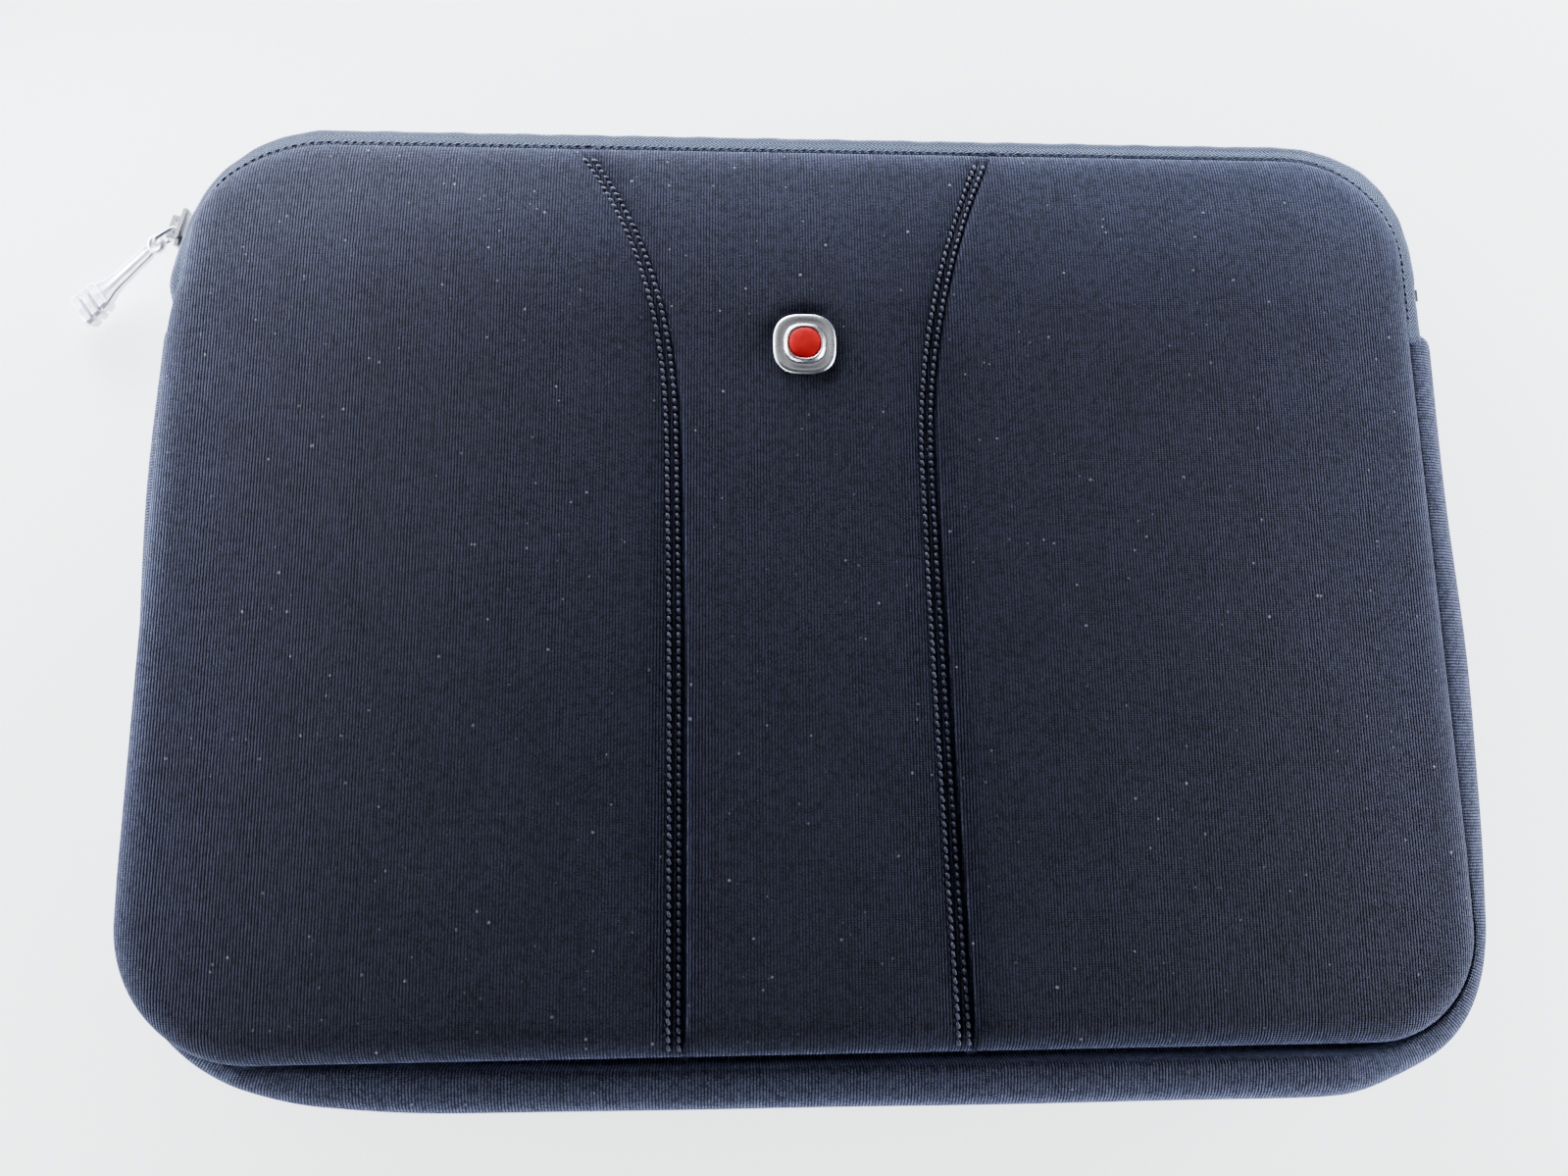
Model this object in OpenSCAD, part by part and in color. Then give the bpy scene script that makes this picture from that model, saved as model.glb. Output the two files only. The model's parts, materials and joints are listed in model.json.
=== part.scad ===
// Neoprene laptop sleeve: two padded covers, a side band round the bottom and
// sides, and a zip over the top that opens the mouth.
// Millimetres. The sleeve lies on its back: +Z out of the front, +Y to the zip,
// +X to the right. The origin is at the middle of the back face.

/* [Body] */
// Width over the side bands
body_w = 390; // [350:1:420]
// Height from the bottom band to the zip
body_h = 288; // [260:1:320]
// Thickness from the back face to the front face
body_t = 28; // [27:0.5:32]
// Outer radius of the two bottom corners
bottom_r = 56; // [48:1:64]
// Outer radius of the two zip corners
top_r = 45; // [42:1:50]
// Thickness of the neoprene
neoprene = 4; // [3:0.5:5]
// Thickness of the plush lining
lining = 1.2; // [0.8:0.1:1.6]
// How far the side band stands out past the covers
band_out = 12; // [11:0.5:13]

/* [Front seams] */
// Distance from the centre line to each seam at the waist
seam_waist = 36.2; // [30:0.2:42]
// How much further out each seam ends at the top
seam_flare = 26.2; // [0:0.2:32]
// How much further out each seam ends at the bottom
seam_foot = 1.8; // [0:0.2:6]
// Distance between the two rows of stitches of a seam
row_gap = 4.2; // [3:0.2:6]

/* [Zip] */
// Height up the sides at which the band ends and the zip starts
zip_start = 80; // [76:0.5:82]
// How far the zip is set in from the outside at the two sides
zip_set_in = 2.6; // [0:0.2:3]
// Width of one row of coil
coil_w = 2.1; // [1.8:0.1:2.4]
// Height of the coil above the tape
coil_t = 1.8; // [1.6:0.1:2]
// Gap between the two rows of coil
coil_gap = 1.6; // [1.4:0.1:2]
// Length of the slider
slider_l = 12; // [11:0.5:13]
// Distance round the corner from the side to the slider, in degrees
slider_at = 13.5; // [12:0.5:20]

/* [Pull] */
// Which way the pull points, in degrees from +X
pull_heading = 216; // [190:1:230]
// How far the pull droops, in degrees
pull_droop = 18; // [10:0.5:18]
// Length of the pull from its pivot to its tip
pull_l = 33; // [26:0.5:33]
// Width of the pull's shaft
shaft_w = 5; // [4:0.2:6]
// Width of the ribbed grip
grip_w = 10; // [8:0.2:12]

/* [Badge] */
// Width of the badge
badge_w = 18.8; // [14:0.2:24]
// Height of the badge's middle above the sleeve's middle
badge_y = 69.4; // [50:0.2:70]

/* [Hidden] */
$fn = 48;

half_w = body_w / 2;
half_h = body_h / 2;
zip_half_w = half_w - zip_set_in;
mid_z = body_t / 2;
front_z = body_t - neoprene;      // underside of the front neoprene
cover_bevel = 3;                  // how far a cover's face is in from its edge
lining_inset = band_out + 6.3;    // edge of the linings, in from the outside
arc_steps = 14;                   // straight steps in each corner of an outline

// The mouth's fold line, and the gap between what folds and what stays
fold_y = 94;
fold_gap = 0.4;

// The front cover has settled a little to one side, more so at the top
cover_shift = -3;
cover_shear = -0.02;

// Section of the side band: half a tube, centred this far in from the outside
tube_r = mid_z - neoprene;
band_flange = 7;                  // seam allowance that runs in under the covers

// Section of the zip band: two tapes with flat edges and rounded shoulders
tape_t = 0.8;
tape_out = -3.2;                  // face of the tapes, from the outside
tape_shoulder = 5;                // radius of the shoulders
tape_edge = 0.9;                  // edge of each tape from the middle of the zip
tape_in = -band_out - 3.5;        // inner edge of each tape

// Slider, in the zip's own section: x outwards, z across
plate_t = 1.1;
plate_in = tape_out - tape_t - 0.7;
plate_out = tape_out + coil_t + 1;
plate_back = 4.5;
plate_front = 3;
post_w = 1;
arch_w = 2.4;
arch_t = 1.2;
arch_span = 7.6;
arch_rise = 3.4;
arch_top = plate_out + plate_t + arch_rise;

// Link and pull
wire_d = 1.2;
link_r = 2.2;                     // centre line radius of the link's round ends
link_run = 3.8;                   // straight part of the link
link_play = 0.9;                  // from the slider's face to the link's middle
link_x = plate_out + plate_t + link_play;
corner_tl = [-zip_half_w + top_r, half_h - top_r];
slider_angle = 180 - slider_at;
pivot_r = top_r + link_x;
link_at = [
    corner_tl[0] + pivot_r * cos(slider_angle),
    corner_tl[1] + pivot_r * sin(slider_angle),
    mid_z,
];
eye_r = 3;
eye_hole_r = 1.3;
bar_t = 2;
grip_l = 9.5;
grip_t = 6;
rib_count = 3;

// Badge
badge_off = 0.9;                  // to the right of the middle of the seams
badge_x = cover_shift + cover_shear * badge_y + badge_off;
badge_t = 2.6;
enamel_r = 4.7;
enamel_recess = 0.8;
prong_r = 0.9;
prong_gap = 9;
washer_t = 0.6;
washer_r = 8;
washer_recess = washer_t + 0.3;   // room for the bent prongs under the washer

// ---------- outlines ----------

function arc(centre, r, from, to) = [
    for (i = [0 : arc_steps])
        let (a = from + (to - from) * i / arc_steps)
            centre + r * [cos(a), sin(a)]
];

// The sleeve's outline, taken in by inset
function outline(inset) =
    let (
        b = [half_w - bottom_r, half_h - bottom_r],
        t = [half_w - top_r, half_h - top_r]
    )
    concat(
        arc([b[0], -b[1]], bottom_r - inset, -90, 0),
        arc([t[0], t[1]], top_r - inset, 0, 90),
        arc([-t[0], t[1]], top_r - inset, 90, 180),
        arc([-b[0], -b[1]], bottom_r - inset, 180, 270)
    );

// Sideways position of a front seam at height y: side is -1 left, 1 right
function seam_x(y, side) =
    let (
        flare = pow(max(0, (y - 35) / 93), 2.5),
        foot = pow(max(0, -y / 128), 1.5)
    )
    cover_shift + cover_shear * y
        + side * (seam_waist + seam_flare * flare + seam_foot * foot);

function seam_line(side, from, to, shift = 0, steps = 24) = [
    for (i = [0 : steps])
        let (y = from + (to - from) * i / steps)
            [seam_x(y, side) + shift, y]
];

function backwards(list) = [for (i = [len(list) - 1 : -1 : 0]) list[i]];

module sheet_part(inset, from, to) {
    intersection() {
        polygon(outline(inset));
        translate([-body_w, from]) square([2 * body_w, to - from]);
    }
}

// ---------- sweeps round the edge ----------
// The child is a 2D section: x outwards from the sleeve's outside, y up.

module run_right(from, to, half = half_w) {
    translate([half, to, 0]) rotate([90, 0, 0]) linear_extrude(to - from) children();
}

module run_left(from, to, half = half_w) {
    rotate([0, 0, 180]) run_right(-to, -from, half) children();
}

module run_bottom() {
    rotate([0, 0, -90]) run_right(-half_w + bottom_r, half_w - bottom_r, half_h) children();
}

module run_top() {
    rotate([0, 0, 90]) run_right(-zip_half_w + top_r, zip_half_w - top_r, half_h) children();
}

module corner(at, r, from, sweep = 90) {
    translate([at[0], at[1], 0]) rotate([0, 0, from])
        rotate_extrude(angle = sweep, $fn = 96) translate([r, 0]) children();
}

// Down the left side, along the bottom and up the right side
module lower_sweep() {
    x = half_w - bottom_r;
    y = -half_h + bottom_r;
    run_left(y, zip_start) children();
    corner([-x, y], bottom_r, 180) children();
    run_bottom() children();
    corner([x, y], bottom_r, 270) children();
    run_right(y, zip_start) children();
}

// Up the left side, over the top and down the right side
module upper_sweep(left_from, right_from) {
    x = zip_half_w - top_r;
    y = half_h - top_r;
    run_left(left_from, y, zip_half_w) children();
    corner([-x, y], top_r, 90) children();
    run_top() children();
    corner([x, y], top_r, 0) children();
    run_right(right_from, y, zip_half_w) children();
}

// ---------- covers ----------

module cover_slab() {
    hull() {
        translate([0, 0, front_z]) linear_extrude(neoprene / 2)
            polygon(outline(band_out));
        translate([0, 0, front_z + neoprene / 2]) linear_extrude(neoprene / 2)
            polygon(outline(band_out + cover_bevel));
    }
}

// A piece of the front cover: column -1 left, 0 centre, 1 right of the seams
module front_piece(column, from, to) {
    left = column < 0 ? [[-body_w, from], [-body_w, to]]
        : seam_line(column == 0 ? -1 : 1, from, to);
    right = column > 0 ? [[body_w, to], [body_w, from]]
        : backwards(seam_line(column == 0 ? 1 : -1, from, to));
    intersection() {
        cover_slab();
        translate([0, 0, front_z - 1]) linear_extrude(neoprene + 2)
            polygon(concat(left, right));
    }
}

module prongs(r, from, to) {
    for (side = [-1, 1])
        translate([badge_x + side * prong_gap / 2, badge_y, from])
            cylinder(r = r, h = to - from, $fn = 24);
}

fold_low = fold_y - fold_gap / 2;
fold_high = fold_y + fold_gap / 2;

module front_left_panel() {
    color([0.06, 0.07, 0.10]) front_piece(-1, -half_h, fold_low);
}

module front_centre_panel() {
    color([0.05, 0.05, 0.08]) difference() {
        front_piece(0, -half_h, fold_low);
        prongs(prong_r + 0.1, front_z - 1, body_t + 1);
    }
}

module front_right_panel() {
    color([0.06, 0.07, 0.10]) front_piece(1, -half_h, fold_low);
}

module front_left_flap() {
    color([0.06, 0.07, 0.10]) front_piece(-1, fold_high, half_h);
}

module front_centre_flap() {
    color([0.05, 0.05, 0.08]) front_piece(0, fold_high, half_h);
}

module front_right_flap() {
    color([0.06, 0.07, 0.10]) front_piece(1, fold_high, half_h);
}

module front_lining() {
    color([0.22, 0.23, 0.25]) difference() {
        translate([0, 0, front_z - lining]) linear_extrude(lining)
            sheet_part(lining_inset, -half_h, fold_low);
        translate([badge_x, badge_y, front_z - washer_recess])
            cylinder(r = washer_r + 0.1, h = washer_recess + 1);
    }
}

module front_lining_flap() {
    color([0.22, 0.23, 0.25]) translate([0, 0, front_z - lining])
        linear_extrude(lining) sheet_part(lining_inset, fold_high, half_h);
}

module back_panel() {
    color([0.06, 0.07, 0.10]) {
        linear_extrude(neoprene / 2) polygon(outline(band_out + cover_bevel));
        translate([0, 0, neoprene / 2]) linear_extrude(neoprene / 2)
            polygon(outline(band_out));
    }
}

module back_lining() {
    color([0.22, 0.23, 0.25]) translate([0, 0, neoprene]) linear_extrude(lining)
        polygon(outline(lining_inset));
}

// ---------- side band ----------

module half_tube(outer, wall) {
    translate([-tube_r, mid_z]) intersection() {
        difference() {
            circle(r = outer, $fn = 96);
            circle(r = outer - wall, $fn = 96);
        }
        translate([0, -outer]) square([outer, 2 * outer]);
    }
}

module band_section() {
    half_tube(tube_r, neoprene);
    for (z = [neoprene, front_z - neoprene])
        translate([-tube_r - band_flange, z]) square([band_flange, neoprene]);
}

module binding_section(z) {
    translate([-tube_r - band_flange, z]) square([3, 0.8]);
}

module side_band() {
    color([0.08, 0.10, 0.15]) lower_sweep() band_section();
}

module side_band_lining() {
    color([0.22, 0.23, 0.25]) lower_sweep() half_tube(tube_r - neoprene, 1);
}

module front_binding() {
    color([0.12, 0.12, 0.14]) lower_sweep()
        binding_section(front_z - neoprene - 0.8);
}

module back_binding() {
    color([0.12, 0.12, 0.14]) lower_sweep() binding_section(2 * neoprene);
}

// ---------- zip ----------

// The front tape's section; the back tape's is its mirror image
module tape_section() {
    shoulder_z = front_z - tape_shoulder;
    translate([tape_out - tape_t, mid_z + tape_edge])
        square([tape_t, shoulder_z - mid_z - tape_edge]);
    translate([tape_out - tape_shoulder, shoulder_z]) intersection() {
        difference() {
            circle(r = tape_shoulder, $fn = 64);
            circle(r = tape_shoulder - tape_t, $fn = 64);
        }
        square(tape_shoulder);
    }
    translate([tape_in, front_z - tape_t])
        square([tape_out - tape_shoulder - tape_in, tape_t]);
}

module coil_section() {
    translate([tape_out, mid_z + coil_gap / 2]) square([coil_t, coil_w]);
}

module in_back() {
    translate([0, 2 * mid_z]) mirror([0, 1]) children();
}

coil_start = half_h - top_r;

module front_zip_tape() {
    color([0.10, 0.12, 0.16]) upper_sweep(fold_high, fold_high) tape_section();
}

module front_tape_left_end() {
    color([0.10, 0.12, 0.16]) run_left(zip_start, fold_low, zip_half_w)
        tape_section();
}

module front_tape_right_end() {
    color([0.10, 0.12, 0.16]) run_right(zip_start, fold_low, zip_half_w)
        tape_section();
}

module back_zip_tape() {
    color([0.10, 0.12, 0.16]) upper_sweep(zip_start, zip_start)
        in_back() tape_section();
}

module coil_sweep() {
    x = zip_half_w - top_r;
    corner([-x, coil_start], top_r, 90) children();
    run_top() children();
    corner([x, coil_start], top_r, 0) children();
    run_right(fold_high, coil_start, zip_half_w) children();
}

module front_coil() {
    color([0.07, 0.07, 0.08]) coil_sweep() coil_section();
}

module back_coil() {
    color([0.07, 0.07, 0.08]) coil_sweep() in_back() coil_section();
}

stop_l = 3;

module stop_section() {
    translate([tape_out, mid_z + coil_gap / 2 - 0.3]) square([coil_t + 0.2, coil_w + 0.6]);
}

module front_top_stop() {
    color([0.65, 0.66, 0.68]) run_left(coil_start - stop_l, coil_start, zip_half_w)
        stop_section();
}

module back_top_stop() {
    color([0.65, 0.66, 0.68]) run_left(coil_start - stop_l, coil_start, zip_half_w)
        in_back() stop_section();
}

module bottom_stop() {
    width = coil_gap + 2 * coil_w;
    color([0.65, 0.66, 0.68]) run_right(fold_low - 1.3 * stop_l, fold_low, zip_half_w)
        translate([tape_out, mid_z - width / 2]) square([coil_t + 0.2, width]);
}

// Moves to the slider's place: x outwards, y along the zip, z across
module at_slider() {
    translate([corner_tl[0], corner_tl[1], 0]) rotate([0, 0, slider_angle])
        translate([top_r, 0, mid_z]) children();
}

module slider_plate(x) {
    nose = slider_l * 0.2;
    width = plate_back + plate_front;
    translate([x, -slider_l / 2, -plate_back])
        cube([plate_t, slider_l - nose, width]);
    translate([x, slider_l / 2 - nose, -plate_back + 1.2])
        cube([plate_t, nose, width - 2.4]);
}

module slider() {
    color([0.62, 0.63, 0.66]) at_slider() {
        slider_plate(plate_in - plate_t);
        slider_plate(plate_out);
        translate([plate_in - plate_t / 2, 2, -post_w / 2])
            cube([plate_out - plate_in + plate_t, 3, post_w]);
        translate([plate_out + plate_t / 2, -arch_span / 2, -arch_w / 2])
            difference() {
                cube([arch_top - plate_out - plate_t / 2, arch_span, arch_w]);
                translate([-1, arch_t, -1])
                    cube([
                        arch_top - plate_out - plate_t / 2 - arch_t + 1,
                        arch_span - 2 * arch_t,
                        arch_w + 2,
                    ]);
            }
    }
}

// Moves to the link's pivot: x along the pull, still level
module at_link() {
    translate(link_at) rotate([0, 0, pull_heading]) children();
}

module link_end(x, from) {
    translate([x, 0, 0]) rotate([90, 0, 0]) rotate([0, 0, from])
        rotate_extrude(angle = 180) translate([link_r, 0]) circle(d = wire_d, $fn = 24);
}

module pull_link() {
    color([0.70, 0.71, 0.74]) at_link() {
        link_end(link_r, 90);
        link_end(link_r + link_run, -90);
        for (side = [-1, 1])
            translate([link_r, 0, side * link_r]) rotate([0, 90, 0])
                cylinder(d = wire_d, h = link_run, $fn = 24);
    }
}

module pull_shaft() {
    start = link_r;
    grip_from = pull_l - grip_l;
    flare = 5;
    translate([start + eye_r - 0.8, -shaft_w / 2, -bar_t / 2])
        cube([grip_from - flare - start - eye_r + 1.8, shaft_w, bar_t]);
    translate([grip_from - flare, 0, -bar_t / 2]) linear_extrude(bar_t)
        polygon([
            [0, -shaft_w / 2], [flare + 1, -grip_w * 0.42],
            [flare + 1, grip_w * 0.42], [0, shaft_w / 2],
        ]);
}

module pull_grip() {
    rib = grip_l / (2 * rib_count - 1);
    from = pull_l - grip_l;
    for (i = [0 : rib_count - 1])
        translate([from + 2 * i * rib, -grip_w / 2, -grip_t / 2])
            cube([rib, grip_w, grip_t]);
    translate([from, -grip_w / 2 + 0.8, -grip_t / 2 + 0.8])
        cube([grip_l, grip_w - 1.6, grip_t - 1.6]);
}

module pull_bar() {
    color([0.66, 0.66, 0.72]) at_link() translate([link_r + link_run, 0, 0])
        rotate([0, pull_droop, 0]) {
            difference() {
                union() {
                    translate([link_r, 0, -bar_t / 2]) cylinder(r = eye_r, h = bar_t);
                    pull_shaft();
                }
                translate([link_r, 0, -bar_t])
                    cylinder(r = eye_hole_r, h = 2 * bar_t, $fn = 32);
            }
            pull_grip();
        }
}

// ---------- badge ----------

function squircle(w, steps = 48) = [
    for (i = [0 : steps - 1])
        let (
            a = 360 * i / steps,
            c = cos(a),
            s = sin(a)
        )
        w / 2 * [sign(c) * pow(abs(c), 0.58), sign(s) * pow(abs(s), 0.58)]
];

module badge_bezel() {
    color([0.75, 0.76, 0.78]) {
        translate([badge_x, badge_y, body_t]) difference() {
            hull() {
                linear_extrude(0.8) polygon(squircle(badge_w));
                linear_extrude(badge_t) polygon(squircle(badge_w * 0.66));
            }
            translate([0, 0, badge_t - enamel_recess]) cylinder(r = enamel_r, h = 2);
        }
        prongs(prong_r, front_z - washer_t - 0.2, body_t + 0.4);
    }
}

module badge_enamel() {
    color([0.78, 0.03, 0.05]) translate([badge_x, badge_y, body_t + badge_t - enamel_recess])
        cylinder(r = enamel_r, h = enamel_recess - 0.1);
}

module badge_washer() {
    color([0.6, 0.61, 0.63]) difference() {
        translate([badge_x, badge_y, front_z - washer_t])
            cylinder(r = washer_r, h = washer_t);
        prongs(prong_r + 0.1, front_z - 2, front_z + 1);
    }
}

// ---------- stitching ----------

stitch_w = 0.7;
stitch_t = 0.4;
stitch_end = half_h - band_out - cover_bevel - 2;

module stitch_rows(side, from, to) {
    color([0.12, 0.13, 0.16]) for (row = [-1, 1])
        translate([0, 0, body_t]) linear_extrude(stitch_t) polygon(concat(
            seam_line(side, from, to, row * row_gap / 2 - stitch_w / 2),
            backwards(seam_line(side, from, to, row * row_gap / 2 + stitch_w / 2))
        ));
}

module left_seam_stitching() {
    stitch_rows(-1, -stitch_end, fold_low);
}

module right_seam_stitching() {
    stitch_rows(1, -stitch_end, fold_low);
}

module left_flap_stitching() {
    stitch_rows(-1, fold_high, stitch_end);
}

module right_flap_stitching() {
    stitch_rows(1, fold_high, stitch_end);
}

back_panel();
back_lining();
side_band();
side_band_lining();
front_left_panel();
front_centre_panel();
front_right_panel();
front_lining();
left_seam_stitching();
right_seam_stitching();
front_left_flap();
front_centre_flap();
front_right_flap();
front_lining_flap();
left_flap_stitching();
right_flap_stitching();
front_binding();
back_binding();
front_zip_tape();
front_tape_left_end();
front_tape_right_end();
back_zip_tape();
front_coil();
back_coil();
front_top_stop();
back_top_stop();
bottom_stop();
slider();
pull_link();
pull_bar();
badge_bezel();
badge_enamel();
badge_washer();
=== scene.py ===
import json
import math
import random

import bmesh
import bpy
import numpy as np
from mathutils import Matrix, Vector
from mathutils.bvhtree import BVHTree


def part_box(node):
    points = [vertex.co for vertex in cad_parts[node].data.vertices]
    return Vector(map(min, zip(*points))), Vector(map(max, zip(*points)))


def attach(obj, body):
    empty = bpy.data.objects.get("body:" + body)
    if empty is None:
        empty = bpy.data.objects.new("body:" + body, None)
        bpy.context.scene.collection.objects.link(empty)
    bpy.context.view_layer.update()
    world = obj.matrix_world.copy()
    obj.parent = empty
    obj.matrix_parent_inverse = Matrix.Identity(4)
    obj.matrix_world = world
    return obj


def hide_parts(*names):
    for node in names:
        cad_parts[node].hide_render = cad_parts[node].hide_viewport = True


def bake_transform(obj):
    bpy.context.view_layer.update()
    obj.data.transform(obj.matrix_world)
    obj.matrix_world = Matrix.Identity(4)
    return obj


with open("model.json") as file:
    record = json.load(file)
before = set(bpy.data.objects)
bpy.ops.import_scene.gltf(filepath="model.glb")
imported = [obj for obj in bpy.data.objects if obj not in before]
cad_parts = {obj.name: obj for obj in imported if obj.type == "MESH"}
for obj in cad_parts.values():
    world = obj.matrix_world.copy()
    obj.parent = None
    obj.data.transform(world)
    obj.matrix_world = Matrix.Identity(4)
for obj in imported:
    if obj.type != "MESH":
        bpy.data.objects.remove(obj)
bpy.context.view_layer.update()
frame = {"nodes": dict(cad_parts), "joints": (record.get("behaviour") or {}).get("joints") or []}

# Lengths below are in millimetres. Meshes are scaled to metres as they are made.
MM = 0.001


# ---------- places taken from the frame ----------

def node_box(name):
    low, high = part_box(name)
    return np.array(low) / MM, np.array(high) / MM


def joint(name):
    """Where a joint lies and its axis."""
    found = next(j for j in frame["joints"] if j["name"] == name)
    return np.array(found["pos_m"]) / MM, np.array(found["axis"])


band_low, band_high = node_box("side_band")
badge_low, badge_high = node_box("badge_bezel")
corner_left, _ = joint("slider_travel")
link_pivot, _ = joint("link_swing")
pull_pivot, pull_axis = joint("pull_swing")

HALF_W = band_high[0]
HALF_H = -band_low[1]
ZIP_START = band_high[1]            # the side band ends here and the zip starts
FACE_Z = node_box("front_left_panel")[1][2]  # front face of the front cover
COIL_END = node_box("back_coil")[0][1]       # lowest point of the coil, at the right
MID_Z = FACE_Z / 2                  # height of the middle of the zip
TOP_R = HALF_H - corner_left[1]     # outer radius of the zip corners
ZIP_HALF_W = TOP_R - corner_left[0]  # the zip runs a little further in at the sides
LOW_LEFT_R, LOW_RIGHT_R = 60, 50    # outer radii of the bottom corners
DRAWN_IN = 1.6                      # the sides draw in this much low down
SAG = 1.6                           # and the bottom sags by this much
BADGE = (badge_low + badge_high) / 2
BADGE_HALF = (badge_high[0] - badge_low[0]) / 2
PULL_L = 33                         # from the pull's pivot to its tip

rng = random.Random(7)


# ---------- meshes ----------

def new_object(name, data):
    made = bpy.data.objects.new(name, data)
    bpy.context.scene.collection.objects.link(made)
    return made


def build(name, verts, faces, weave=None, outward=True, facing=0):
    """A mesh from points in millimetres. weave holds each point's place on the cloth. An
    open shape may name the way it mostly faces: up (1) or down (-1)."""
    mesh = bpy.data.meshes.new(name)
    mesh.from_pydata((np.asarray(verts, float) * MM).tolist(), [], faces)
    mesh.validate()
    if weave is not None:
        corner = np.empty(len(mesh.loops), np.int32)
        mesh.loops.foreach_get("vertex_index", corner)
        layer = mesh.uv_layers.new(name="weave")
        layer.data.foreach_set("uv", (np.asarray(weave, float)[corner] * MM).ravel())
    if outward:
        edit = bmesh.new()
        edit.from_mesh(mesh)
        bmesh.ops.recalc_face_normals(edit, faces=edit.faces)
        if facing * sum(face.normal.z * face.calc_area() for face in edit.faces) < 0:
            bmesh.ops.reverse_faces(edit, faces=edit.faces)
        edit.to_mesh(mesh)
        edit.free()
    mesh.polygons.foreach_set("use_smooth", [True] * len(mesh.polygons))
    mesh.update()
    return new_object(name, mesh)


def grid_faces(rows, cols, ring=False, start=0):
    """Quads over rows x cols points. ring joins the last column to the first."""
    last = cols if ring else cols - 1
    faces = []
    for r in range(rows - 1):
        for c in range(last):
            a = start + r * cols + c
            b = start + r * cols + (c + 1) % cols
            faces.append((a, b, b + cols, a + cols))
    return faces


def build_grid(name, points, weave=None, ring=False, outward=True):
    points = np.asarray(points, float)
    rows, cols = points.shape[:2]
    flat = None if weave is None else np.asarray(weave, float).reshape(-1, 2)
    return build(name, points.reshape(-1, 3), grid_faces(rows, cols, ring), flat, outward)


def thicken(piece, thickness):
    solid = piece.modifiers.new("thickness", "SOLIDIFY")
    solid.thickness = thickness * MM
    solid.offset = -1
    solid.use_even_offset = False
    return piece


def smooth(piece):
    subdivide = piece.modifiers.new("smooth", "SUBSURF")
    subdivide.levels = subdivide.render_levels = 1
    return piece


def soften_edges(piece, width):
    bevel = piece.modifiers.new("edges", "BEVEL")
    bevel.width = width * MM
    bevel.segments = 2
    bevel.limit_method = "ANGLE"
    bevel.angle_limit = math.radians(35)
    return piece


def waves(x, y, scale, seed, size):
    """Gentle, repeatable unevenness: a sum of a few slow waves."""
    source = random.Random(seed)
    total = np.zeros(np.broadcast(x, y).shape)
    for _ in range(7):
        turn = source.uniform(0, 2 * math.pi)
        length = scale * source.uniform(0.6, 1.8)
        phase = source.uniform(0, 2 * math.pi)
        along = np.asarray(x) * math.cos(turn) + np.asarray(y) * math.sin(turn)
        total = total + np.sin(2 * math.pi * along / length + phase)
    return size * total / 7


def bump(x, width):
    return np.exp(-((x / width) ** 2))


# ---------- outlines ----------

class Outline:
    """A rounded rectangle. Its radii are pairs: the left corner's and the right corner's.
    The left side may draw in: dent holds where, how far up and down, and how much."""

    def __init__(self, centre, half, r_top, r_bottom, dent=(0, 1, 0)):
        self.centre, self.half, self.dent = centre, half, dent
        self.r_top, self.r_bottom = r_top, r_bottom
        self.ends = centre[1] - half[1], centre[1] + half[1]

    def _drawn_in(self, y):
        middle, reach, size = self.dent
        return size * bump(y - middle, reach)

    def _corner(self, x, y):
        x = x - self._drawn_in(y) * np.clip((-x - 110) / 60, 0, 1)
        dx, dy = x - self.centre[0], y - self.centre[1]
        r = np.where(dy > 0, np.where(dx < 0, *self.r_top), np.where(dx < 0, *self.r_bottom))
        return dx, dy, r, np.abs(dx) - self.half[0] + r, np.abs(dy) - self.half[1] + r

    def depth(self, x, y):
        """Distance in from the outline."""
        _, _, r, qx, qy = self._corner(x, y)
        outside = np.hypot(np.maximum(qx, 0), np.maximum(qy, 0))
        return r - outside - np.minimum(np.maximum(qx, qy), 0)

    def outward(self, x, y):
        dx, dy, _, qx, qy = self._corner(x, y)
        nx = np.where((qx > 0) & (qy > 0), qx, np.where(qx > qy, 1.0, 0.0))
        ny = np.where((qx > 0) & (qy > 0), qy, np.where(qx > qy, 0.0, 1.0))
        size = np.hypot(nx, ny)
        return np.sign(dx) * nx / size, np.sign(dy) * ny / size

    def side(self, y, sign):
        """x of the left (-1) or right (1) side at height y."""
        dy = y - self.centre[1]
        corner = 0 if sign < 0 else 1
        r = np.where(dy > 0, self.r_top[corner], self.r_bottom[corner])
        over = np.clip(np.abs(dy) - self.half[1] + r, 0, r)
        reach = self.half[0] - r + np.sqrt(r * r - over * over)
        return self.centre[0] + sign * reach + (self._drawn_in(y) if sign < 0 else 0)


# The stuffed edge is not quite even. Each entry is a place, how far its effect reaches,
# and how far the edge stands out (or in, if negative) there.
SLACK = [
    ((195, -25), 35, 1.4), ((194, -104), 22, -2.0), ((163, -146), 16, -2.2),
    ((-148, -144), 28, -3.0), ((181, 133), 20, 2.4), ((-192, 30), 40, 1.6),
]


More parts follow.
